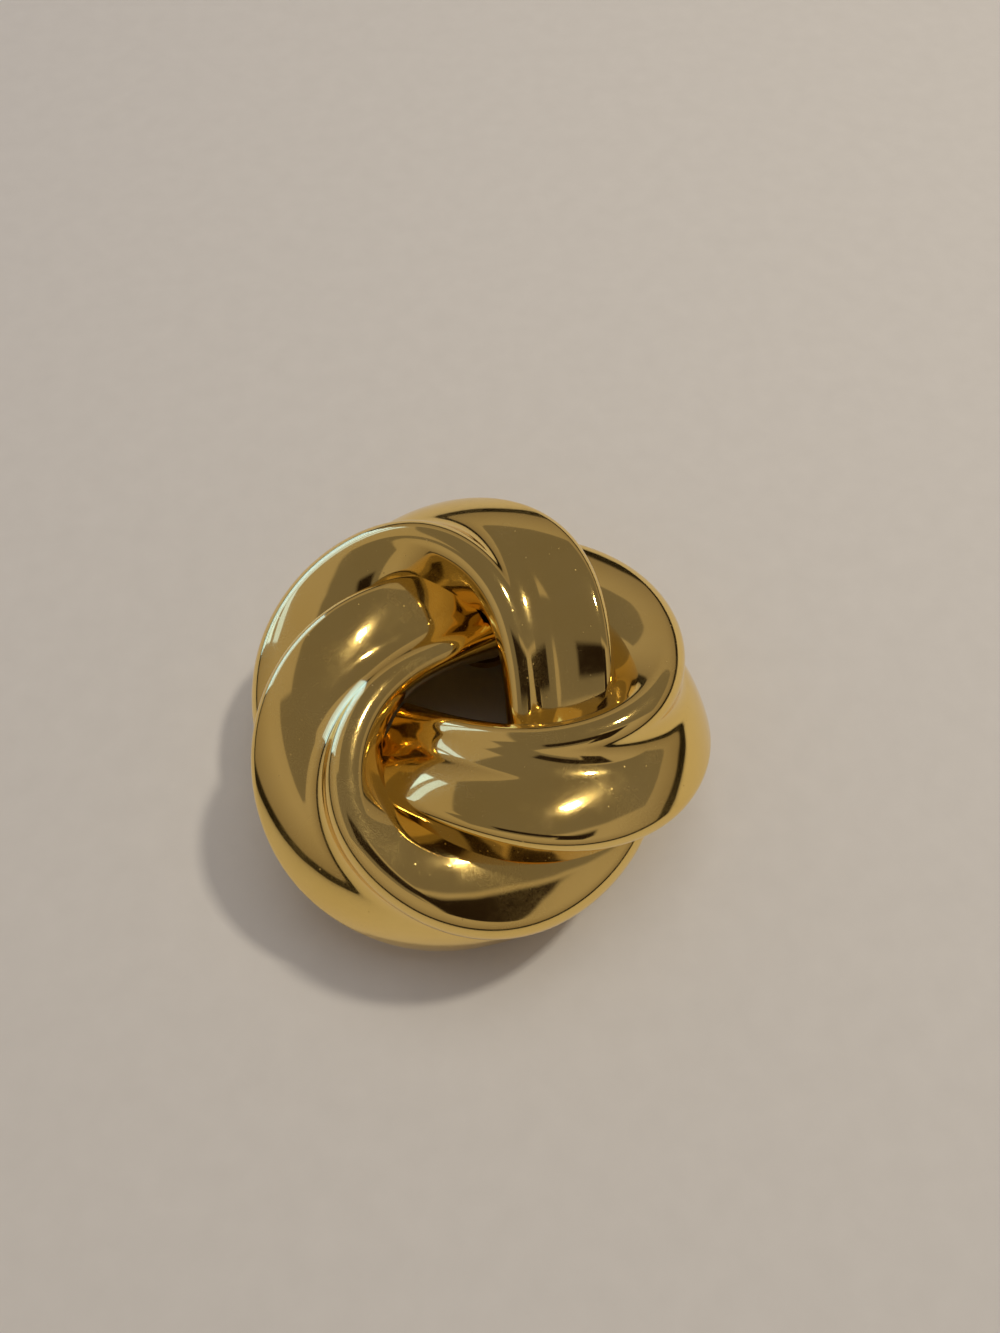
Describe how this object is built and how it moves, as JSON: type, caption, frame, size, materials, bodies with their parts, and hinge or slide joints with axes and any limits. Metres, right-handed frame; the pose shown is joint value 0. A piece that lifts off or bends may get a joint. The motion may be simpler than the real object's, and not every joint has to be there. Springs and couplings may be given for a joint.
{
  "type": "scarf clip",
  "caption": "Polished gold-tone knot scarf clip: double-ridged arms wind over each other round an open centre, with a spring tongue behind that grips the scarf.",
  "frame": {"origin": "bottom centre of the whole clip's bounding box, on the surface that its back rests on", "axes": "+Z out of the front, the way the ornament faces; +Y to the wearer's up; +X to the right, seen from the front"},
  "size_m": [0.0414, 0.0416, 0.0189],
  "materials": {
    "gold_plate": "mirror-polished yellow-gold plating with fine handling scratches and specks",
    "clip_plate": "plain smooth gold plating, duller than the front"
  },
  "bodies": {
    "root": {"knot": "gold_plate", "back_clip": "clip_plate"}
  },
  "joints": []
}
